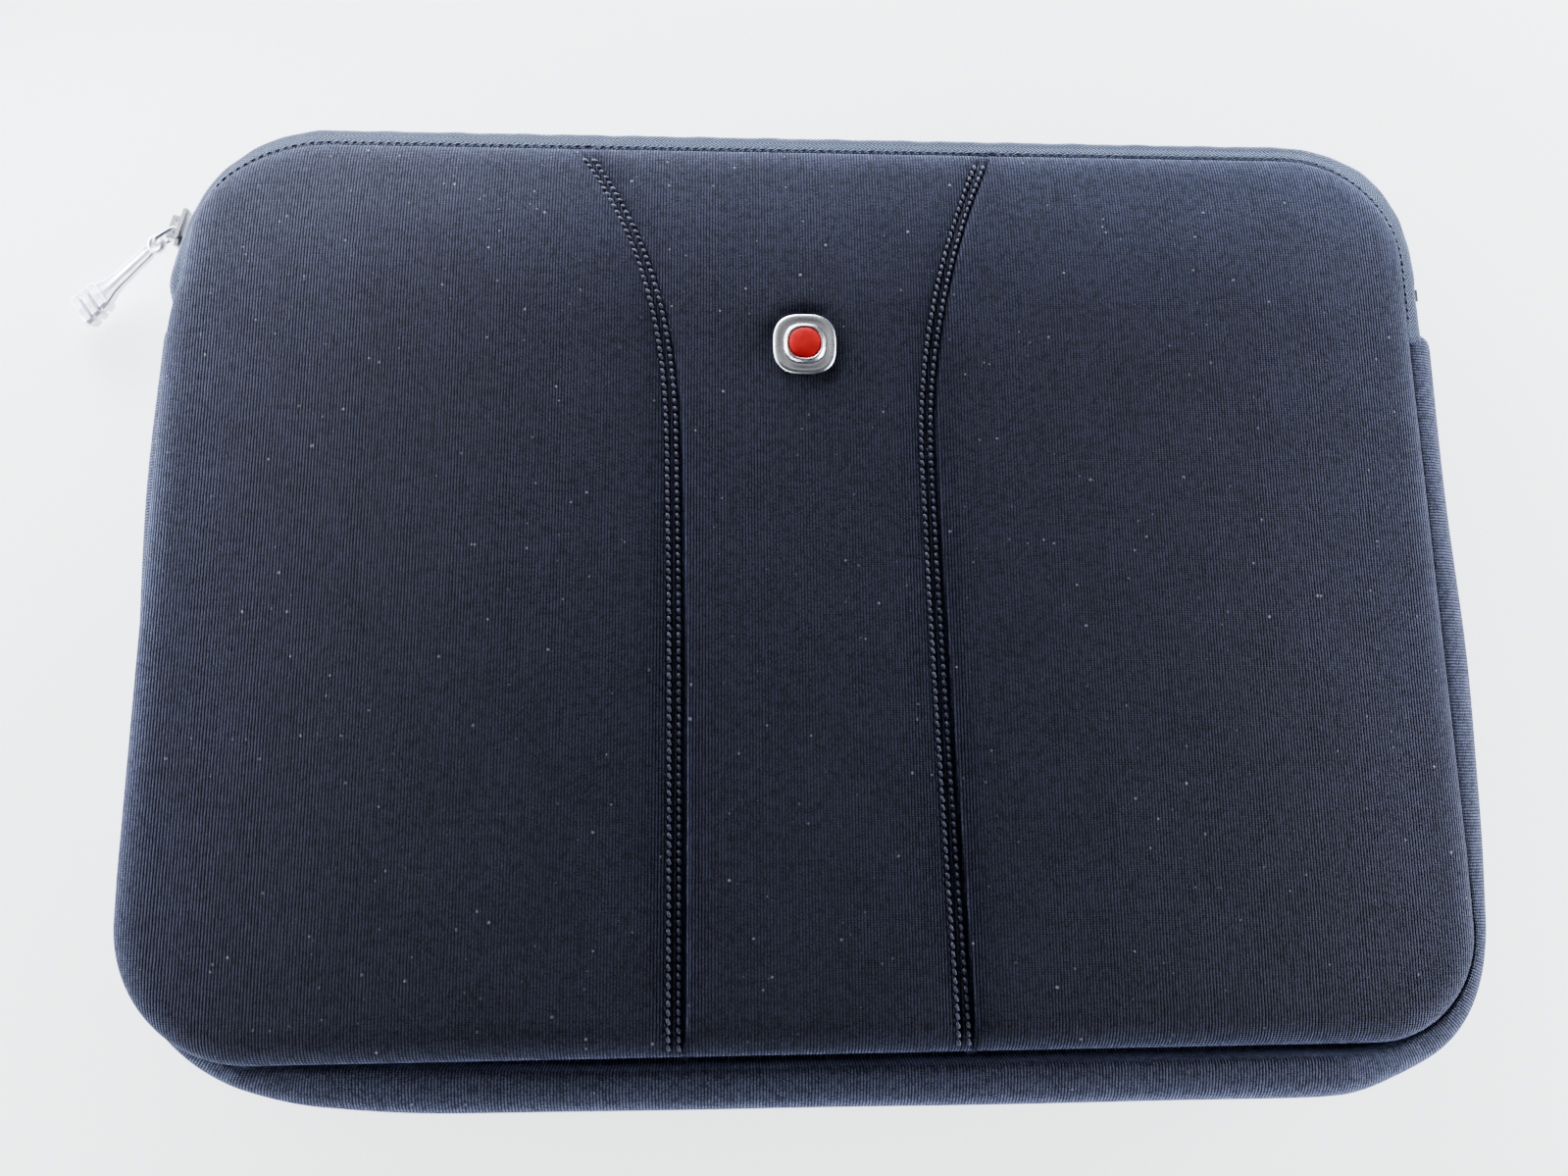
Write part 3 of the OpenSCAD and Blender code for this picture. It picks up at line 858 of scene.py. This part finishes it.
def valley(point):
    """The valley's width, which gapes along the bottom and is tight elsewhere."""
    x, y = point
    share = 1.0
    for past, over in zip((GAPE_Y - y, x - GAPE_X[0], GAPE_X[1] - x), (14, 90, 25)):
        share *= min(1, max(0, past / over))
    return VALLEY + LOW_VALLEY * share


def quarter(reach, low, high, steps, power=2.3):
    """A rounded quarter from (reach, high) out to (0, low)."""
    points = []
    for k in range(steps + 1):
        t = math.pi / 2 * k / steps
        inward = 1 - abs(math.sin(t)) ** (2 / power)
        rise = abs(math.cos(t)) ** (2 / power)
        points.append((reach * inward, low + (high - low) * rise))
    return points


def band_section(point, from_start, to_end):
    """The bulging band, whose ends round in to lie on the zip."""
    near = min(from_start, to_end)
    full = math.sqrt(max(0, 1 - (1 - min(near, BAND_END) / BAND_END) ** 2.6))
    swell = 0.3 * math.sin(from_start / 31) + 0.2 * math.sin(from_start / 13.7 + 1)
    gap = cover_gap(point)
    gape = valley(point)
    reach = max(LEAST_REACH, gap - gape) + swell * 0.3
    crown = BAND_TOP + 0.4 * swell - 1.05 * max(0, LEAST_REACH + 1.5 - gap)
    crown = max(crown - 0.9 * (VALLEY + LOW_VALLEY - gape), BAND_MID + 2.5)
    front = quarter(reach, BAND_MID, crown, 10)
    back = quarter(BACK_REACH, BAND_MID, BAND_LOW, 10)[::-1]
    shaped = []
    for inset, z in front + back[1:]:
        middle = 1 - abs(z - BAND_MID) / (BAND_TOP - BAND_LOW) * 1.2
        out = inset - 0.35 * swell * max(0, middle)
        drawn_in = max(out, CLOSED + 0.4 * inset)
        shaped.append((max(0.03, drawn_in + (out - drawn_in) * full),
                       BAND_MID + (z - BAND_MID) * (0.8 + 0.2 * full)))
    foot = min(SEAM_Z, crown - 3)
    lip = [(reach + 7, foot), (reach + 2.6, foot), (reach + 1.2, foot + 0.4),
           (reach + 0.6, foot + 1.4), (reach + 0.6, crown - 1.3)]
    tuck = [(BACK_REACH + 1.3, BAND_LOW + 1.2), (BACK_REACH + 1.9, BAND_LOW + 3),
            (BACK_REACH + 3.2, BAND_LOW + 4), (BACK_REACH + 6, BAND_LOW + 4)]
    return lip + shaped + tuck


def make_band():
    band = smooth(thicken(sweep("side_band_cloth", lower_walk(2.0), band_section), 2.0))
    # The band's cloth carries painted light: it is lighter than the cover's same neoprene.
    finish_piece(band, BAND_CLOTH_WITH_PAINTED_LIGHT, "band_neoprene", "side_band")
    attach(band, "sleeve")
    arc = [math.radians(a) for a in range(85, -86, -10)]
    inner = [(9.5 - 5 * math.cos(a), BAND_MID - 0.2 + 5 * math.sin(a)) for a in arc]
    lining = thicken(sweep("side_band_plush", lower_walk(3), lambda *_: inner), 0.8)
    finish_piece(lining, LINING_CLOTH, "lining", "side_band_lining")
    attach(lining, "sleeve")
    for word, z in (("front", SEAM_Z - 2.4), ("back", BAND_LOW + 6.4)):
        ribbon_at = [(13.5, z), (14.5, z + 0.15), (15.5, z + 0.15), (16.5, z)]
        ribbon = sweep(f"{word}_seam_binding", lower_walk(3), lambda *_, at=ribbon_at: at)
        finish_piece(thicken(ribbon, 0.5), BINDING_CLOTH, "binding", f"{word}_binding")
        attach(ribbon, "sleeve")


# ---------- zip ----------

TAPE_START = ZIP_START - 5
BULGE = 2.1             # radius of the bulge that hides the coil from the front
BULGE_OUT = 2.3         # how far in from the zip's line the bulge stands
LEAST_GAP = 7           # the tape reaches in at least this far
FLARE_AT, FLARE_OVER = 17, 9  # the tape flares out near its start at the left
COIL_IN, COIL_Z = 2.3, 1.85   # middle of the coil, from the zip's line and middle
COIL_WIDE, COIL_HIGH = 0.62, 0.8
COIL_PITCH, COIL_WIRE = 1.6, 0.26


def tape_place(point):
    """How far in the tape reaches, and how far it is tucked down where that is short."""
    gap = cover_gap(point)
    return max(LEAST_GAP, gap), min(1.8, 0.4 * max(0, LEAST_GAP - gap))


def tape_section(sign):
    """From under the cover's edge, out over a bulge, and in to the coil."""
    arc = [math.radians(a) for a in range(88, -61, -12)]

    def section(point, from_start, to_end):
        gap, tucked = tape_place(point)
        flare = math.exp(-(((from_start - FLARE_AT) / FLARE_OVER) ** 2))
        ripple = 0.1 * math.sin(from_start / 3.1) + 0.09 * math.sin(from_start / 1.7 + 2)
        middle = BULGE_OUT + BULGE - 2.4 * flare + ripple
        bulge = [(middle - BULGE * math.cos(a), 3.0 + BULGE * math.sin(a)) for a in arc]
        inner = [(gap + 6, 3.4), (gap + 3, 3.6), (gap + 0.6, 3.8), (gap - 0.1, 4.4)]
        shoulder = [(gap - 0.15, 5.5), (gap - 0.8, 5.7), (gap - 1.7, 5.6),
                    ((gap - 1.7 + middle) / 2, 5.4)]
        points = inner + shoulder + bulge + [(3.2, 1.0)]
        return [(inset, MID_Z + sign * (z - tucked * min(1, z / 4))) for inset, z in points]

    return section


def helix_row(name, path, sign, phase):
    """One row of coil: a flattened helix that runs along the edge of its tape."""
    points, normals, length = path
    per_turn, around = 14, 6
    turns = int(length[-1] / COIL_PITCH)
    s = np.linspace(0, turns * COIL_PITCH, turns * per_turn)
    px, py, nx, ny = (np.interp(s, length, values) for values in (*points.T, *normals.T))
    a = 2 * math.pi * s / COIL_PITCH + phase
    inset = COIL_IN + COIL_WIDE * np.cos(a)
    z = MID_Z + sign * (COIL_Z + COIL_HIGH * np.sin(a))
    line = np.stack([px - nx * inset, py - ny * inset, z], -1)
    along = np.gradient(line, axis=0)
    along /= np.linalg.norm(along, axis=1)[:, None]
    middle_z = np.full(len(s), MID_Z + sign * COIL_Z)
    out = line - np.stack([px - nx * COIL_IN, py - ny * COIL_IN, middle_z], -1)
    out -= (out * along).sum(1)[:, None] * along
    out /= np.linalg.norm(out, axis=1)[:, None]
    side = np.cross(along, out)
    turned = [2 * math.pi * k / around for k in range(around)]
    tube = [line + COIL_WIRE * (math.cos(t) * out + math.sin(t) * side) for t in turned]
    return build_grid(name, np.stack(tube, 1), ring=True)


def make_zip():
    path = upper_walk(2.2, TAPE_START, TAPE_START)
    front = thicken(sweep("front_tape", path, tape_section(1)), 0.6)
    bend(finish_piece(front, TAPE_CLOTH, "zip_tape",
                      "front_zip_tape", "front_tape_left_end", "front_tape_right_end"))
    back = thicken(sweep("back_tape", path, tape_section(-1)), 0.6)
    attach(finish_piece(back, TAPE_CLOTH, "zip_tape", "back_zip_tape"), "sleeve")
    path = upper_walk(0.8, COIL_END + 5, COIL_END)
    teeth = helix_row("front_teeth", path, 1, 0)
    bend(finish_piece(teeth, COIL, "zip_coil", "front_coil"))
    teeth = helix_row("back_teeth", path, -1, math.pi)
    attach(finish_piece(teeth, COIL, "zip_coil", "back_coil"), "sleeve")


# ---------- linings ----------

def lining_sheet(name, outline, height):
    """A plush lining: a sheet with its corners rounded, slightly uneven."""
    ys = np.linspace(*outline.ends, 80)
    share = np.linspace(0, 1, 110)
    left, right = outline.side(ys, -1), outline.side(ys, 1)
    xs = left[:, None] + (right - left)[:, None] * share
    yy = np.repeat(ys[:, None], len(share), 1)
    points = np.stack([xs, yy, height(xs, yy)], -1)
    return build_grid(name, points, np.stack([xs, yy], -1), outward=False)


def front_plush_z(x, y):
    return FACE_Z - 5.4 - fall(x, y) + waves(x, y, 60, 21, 0.35)


def back_plush_z(x, y):
    return 5.4 + waves(x, y, 60, 22, 0.35)


def make_linings():
    centre, half = COVER.centre, COVER.half
    outline = Outline(centre, (half[0] - 7, half[1] - 7), (37, 28), (32, 26))
    front = thicken(lining_sheet("front_plush", outline, front_plush_z), 0.8)
    bend(finish_piece(front, LINING_CLOTH, "lining", "front_lining", "front_lining_flap"))
    half = BACK.half
    outline = Outline(BACK.centre, (half[0] - 6, half[1] - 6), (30, 30), (44, 37))
    back = thicken(lining_sheet("back_plush", outline, back_plush_z), 0.8)
    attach(finish_piece(back, LINING_CLOTH, "lining", "back_lining"), "sleeve")


# ---------- stitching ----------

def stitches(name, line, length=2.2, width=0.5, height=0.4, slant=0.38):
    """A row of separate stitches. line gives (x, y, z) along the row, evenly spaced."""
    rings, around = 5, 6
    verts, faces = [], []
    for i in range(len(line)):
        here = line[i]
        ahead = line[min(i + 1, len(line) - 1)] - line[max(i - 1, 0)]
        along = ahead / np.linalg.norm(ahead)
        side = np.cross([0, 0, 1], along)
        side /= np.linalg.norm(side)
        turn = slant + rng.uniform(-0.08, 0.08)
        along, side = (
            along * math.cos(turn) + side * math.sin(turn),
            side * math.cos(turn) - along * math.sin(turn),
        )
        up = np.cross(along, side)
        long = length * rng.uniform(0.93, 1.05)
        start = len(verts)
        for r in range(rings):
            t = -1 + 2 * (r + 0.5) / rings
            fat = math.sqrt(1 - abs(t) ** 2.6)
            sink = 0.22 * t * t
            for k in range(around):
                a = 2 * math.pi * k / around
                verts.append(here + along * t * long / 2 + side * width * fat * math.cos(a)
                             + up * (height * fat * math.sin(a) - sink))
        faces += grid_faces(rings, around, ring=True, start=start)
        faces.append(tuple(range(start, start + around)))
        last = start + (rings - 1) * around
        faces.append(tuple(range(last + around - 1, last - 1, -1)))
    return build(name, verts, faces)


def even_points(points, pitch):
    """The same line as points one pitch apart."""
    points = np.asarray(points, float)
    length = np.concatenate([[0], np.cumsum(np.linalg.norm(np.diff(points, axis=0), axis=1))])
    at = np.arange(pitch / 2, length[-1], pitch)
    return np.stack([np.interp(at, length, points[:, k]) for k in range(points.shape[1])], -1)


def joined(name, parts):
    """One mesh from several."""
    bpy.ops.object.select_all(action="DESELECT")
    for part in parts:
        part.select_set(True)
    bpy.context.view_layer.objects.active = parts[0]
    bpy.ops.object.join()
    parts[0].name = name
    parts[0].data.name = name
    return parts[0]


def make_seams():
    bottom, top = COVER.ends
    y = np.linspace(bottom + 2, top - 4, 200)
    for side, word in ((-1, "left"), (1, "right")):
        rows = []
        for row in (-1, 1):
            x = seam_x(y, side) + row * SEAM_ROWS / 2
            flat = even_points(np.stack([x, y], -1), STITCH_PITCH)
            line = np.column_stack([flat, front_z(flat[:, 0], flat[:, 1]) + 0.35])
            rows.append(stitches(f"{word}_row_{row}", line))
        bend(finish_piece(joined(f"{word}_seam_thread", rows), THREAD, "thread",
                          f"{word}_seam_stitching", f"{word}_flap_stitching"))


def make_rim_stitches():
    """Topstitching along the front tape, close to the cover's edge."""
    points, normals, _ = upper_walk(1.0, TAPE_START + 8, TAPE_START + 8)
    line = []
    for p, n in zip(points, normals):
        gap, tucked = tape_place(p)
        inset = gap - 1.7
        line.append((p[0] - n[0] * inset, p[1] - n[1] * inset, MID_Z + 5.7 - tucked))
    piece = stitches("rim_thread", even_points(line, 2.6), 2.0, 0.32, 0.24, 0.1)
    bend(finish_piece(piece, RIM_THREAD, "thread"))


# ---------- badge ----------

def turned_shape(name, centre, rings):
    """Rings of (half width, squareness, z) round a centre."""
    a = np.linspace(0, 2 * math.pi, 72, endpoint=False)
    c, s = np.cos(a), np.sin(a)
    rows = []
    for half, power, z in rings:
        r = half / (np.abs(c) ** power + np.abs(s) ** power) ** (1 / power)
        rows.append(np.stack([r * c + centre[0], r * s + centre[1], np.full(len(a), z)], -1))
    return build_grid(name, rows, ring=True)


def make_badge():
    """A satin frame with a dished rim and a raised ring, which holds a red dome."""
    base = float(front_z(BADGE[0], BADGE[1])) + 0.15
    half = BADGE_HALF
    # Distance in from the outside, squareness, height
    rim = [
        (half * 0.5, 2.6, -0.6), (0.9, 2.75, -0.6), (0.25, 2.8, -0.1), (0, 2.8, 0.4),
        (0.15, 2.8, 0.95), (0.65, 2.75, 1.35), (1.3, 2.7, 1.42), (2.1, 2.65, 1.2),
        (2.9, 2.6, 1.05), (3.4, 2.55, 1.15), (3.65, 2.5, 1.6), (3.9, 2.45, 2.0),
        (4.2, 2.4, 2.12), (4.5, 2.3, 2.0), (4.65, 2.25, 1.7), (4.8, 2.2, 1.4),
        (half - 1, 2, 1.4), (half - 0.05, 2, 1.4),
    ]
    rings = [(half - inset, power, base + z) for inset, power, z in rim]
    piece = smooth(turned_shape("badge_frame", BADGE, rings))
    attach(finish_piece(piece, BADGE_METAL, "badge_metal", "badge_bezel"), "sleeve")
    radius = half - 4.6
    dome = [(radius, 2.2, base + 1.3), (radius, 2.2, base + 1.75)]
    for k in range(1, 9):
        t = math.pi / 2 * k / 9
        dome.append((radius * math.cos(t) ** 0.7, 2.1, base + 1.75 + 0.6 * math.sin(t)))
    dome.append((0.02, 2.0, base + 2.36))
    piece = smooth(turned_shape("badge_dome", BADGE, dome))
    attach(finish_piece(piece, RED_ENAMEL, "badge_enamel", "badge_enamel"), "sleeve")


# ---------- pull ----------

def pull_frame():
    """Directions of the pull: along it, across it, and up through it."""
    level = pull_pivot - link_pivot
    level[2] = 0
    level /= np.linalg.norm(level)
    up = pull_axis / np.linalg.norm(pull_axis)
    along = level - (level @ up) * up
    along /= np.linalg.norm(along)
    return along, np.cross(up, along), up


def facets(half, thick, ridge, corner):
    """A bar's section: chamfered, with a low ridge along the middle of both faces."""
    upper = [
        (half, thick - corner), (half - corner, thick), (half * 0.45, thick),
        (0, thick + ridge), (-half * 0.45, thick), (-half + corner, thick),
        (-half, thick - corner),
    ]
    return upper + [(a, -b) for a, b in upper[::-1]]


def make_pull():
    along, side, up = pull_frame()
    tip, ribs_from = PULL_L, PULL_L - 9.5
    # Distance from the pivot, half width, half thickness, ridge, corner
    stations = [
        (2.4, 1.75, 0.8, 0.05, 0.3), (4, 2.1, 0.95, 0.15, 0.35), (10, 2.3, 1.0, 0.22, 0.4),
        (ribs_from - 7, 2.5, 1.05, 0.22, 0.4), (ribs_from - 3.5, 2.9, 1.2, 0.2, 0.4),
        (ribs_from - 0.6, 3.9, 1.5, 0.1, 0.5),
    ]
    for k, half in enumerate((4.5, 4.9, 5.1)):
        at = ribs_from + 3.25 * k
        stations += [
            (at, half, 2.3, 0.1, 0.9), (at + 0.15, half + 0.2, 2.5, 0.1, 0.9),
            (at + 1.95, half + 0.3, 2.6, 0.1, 0.9), (at + 2.1, half + 0.1, 2.4, 0.1, 0.9),
        ]
        if k < 2:
            stations += [(at + 2.25, 3.7, 1.7, 0, 0.7), (at + 3.1, 3.8, 1.8, 0, 0.7)]
    stations += [
        (tip - 0.4, 4.9, 2.3, 0, 0.8), (tip, 4.3, 1.9, 0, 0.7), (tip, 0.05, 0.03, 0, 0),
    ]
    rows = []
    for s, half, thick, ridge, corner in stations:
        here = pull_pivot + along * s
        rows.append([here + side * a + up * b for a, b in facets(half, thick, ridge, corner)])
    shaft = build_grid("pull_shaft", rows, ring=True)
    shaft.data.polygons.foreach_set("use_smooth", [False] * len(shaft.data.polygons))
    eye = []
    around = [2 * math.pi * k / 16 for k in range(16)]

    def squarish(t):
        return math.copysign(abs(t) ** 0.6, t)

    for i in range(49):
        t = 2 * math.pi * i / 48
        ray = along * math.cos(t) + side * math.sin(t)
        ring = []
        for a in around:
            out, rise = 2.15 + 0.8 * squarish(math.cos(a)), 0.9 * squarish(math.sin(a))
            ring.append(pull_pivot + ray * out + up * rise)
        eye.append(ring)
    loop = build_grid("pull_eye", eye, ring=True)
    piece = soften_edges(joined("pull_tab", [shaft, loop]), 0.14)
    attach(finish_piece(piece, PULL_METAL, "pull_metal", "pull_bar"), "pull")


# ---------- hard parts kept from the frame ----------

def keep_hard_parts():
    for name, width in (
        ("slider", 0.3), ("pull_link", 0), ("front_top_stop", 0.3), ("back_top_stop", 0.3),
        ("bottom_stop", 0.35), ("badge_washer", 0.15),
    ):
        part = finish_piece(frame["nodes"][name], ZIP_METAL, "zip_metal")
        if width:
            soften_edges(part, width)


# ---------- floor, light and camera ----------

FLOOR_GLOW = 2.5        # the surface is a light table, much brighter than the black cloth
ROOM_LIGHT = 0.05
STRIP_Z = 0.056         # in metres: the strips of light stand low, just out of the picture


def make_stage():
    bpy.ops.mesh.primitive_plane_add(size=6, location=(0, 0, -0.0002))
    floor = bpy.context.object
    floor.name = "floor"
    material, tree, shader = new_material("pale_surface")
    place = add(tree, "ShaderNodeTexCoord").outputs["Object"]
    cloudy = noise(tree, place, 9.0, 2.0)
    connect(shader, Base_Color=mixed(tree, cloudy, (0.8, 0.805, 0.81), (0.84, 0.845, 0.85)),
            Roughness=0.8, Specular_IOR_Level=0.2, Emission_Strength=FLOOR_GLOW,
            Emission_Color=colour((0.97, 1.0, 0.99)))
    floor.data.materials.append(material)


def area_light(name, place, target, size, radiance, tone=(1.0, 1.0, 1.0), spread=180):
    """A soft rectangular light of a given radiance, aimed at a target."""
    light = bpy.data.lights.new(name, "AREA")
    light.shape = "RECTANGLE"
    light.size, light.size_y = size
    light.energy = radiance * math.pi * size[0] * size[1]
    light.color = tone
    light.spread = math.radians(spread)
    lamp = new_object(name, light)
    lamp.location = place
    aim = Vector(target) - Vector(place)
    lamp.rotation_euler = aim.to_track_quat("-Z", "Y").to_euler()


def make_light():
    world = bpy.data.worlds.new("room")
    bpy.context.scene.world = world
    world.use_nodes = True
    connect(world.node_tree.nodes["Background"], i0=colour((0.9, 0.95, 1.0)), i1=ROOM_LIGHT)
    area_light("overhead", (0.15, 0.65, 1.5), (0, 0.1, 0), (1.2, 1.0), 0.3)
    area_light("upper_left", (-0.64, 0.47, 0.83), (-0.2, 0.1, 0), (0.5, 0.5), 1.8)
    for name, x, y, length, radiance in (
        ("behind", -0.1, 0.31, 1.1, 19), ("right", 0.41, -0.02, 0.9, 20),
        ("left", -0.41, 0.12, 0.8, 15), ("front", -0.3, -0.38, 0.6, 5),
    ):
        area_light(name, (x, y, STRIP_Z), (0, 0, 0.02), (length, 0.06), radiance,
                   (0.86, 0.92, 1.0), 70)


def make_camera():
    """Above the sleeve and a little below its middle, looking almost straight down."""
    data = bpy.data.cameras.new("camera")
    data.sensor_width = 36
    data.lens = 27.0
    data.clip_start = 0.01
    camera = new_object("camera", data)
    camera.location = (-0.0271, -0.0643, 0.3544)
    camera.rotation_euler = [math.radians(a) for a in (10.52, -2.83, -0.58)]
    bpy.context.scene.camera = camera


make_camera()
make_stage()
make_light()
make_covers()
make_back()
make_band()
make_zip()
make_linings()
make_seams()
make_rim_stitches()
make_badge()
make_pull()
keep_hard_parts()
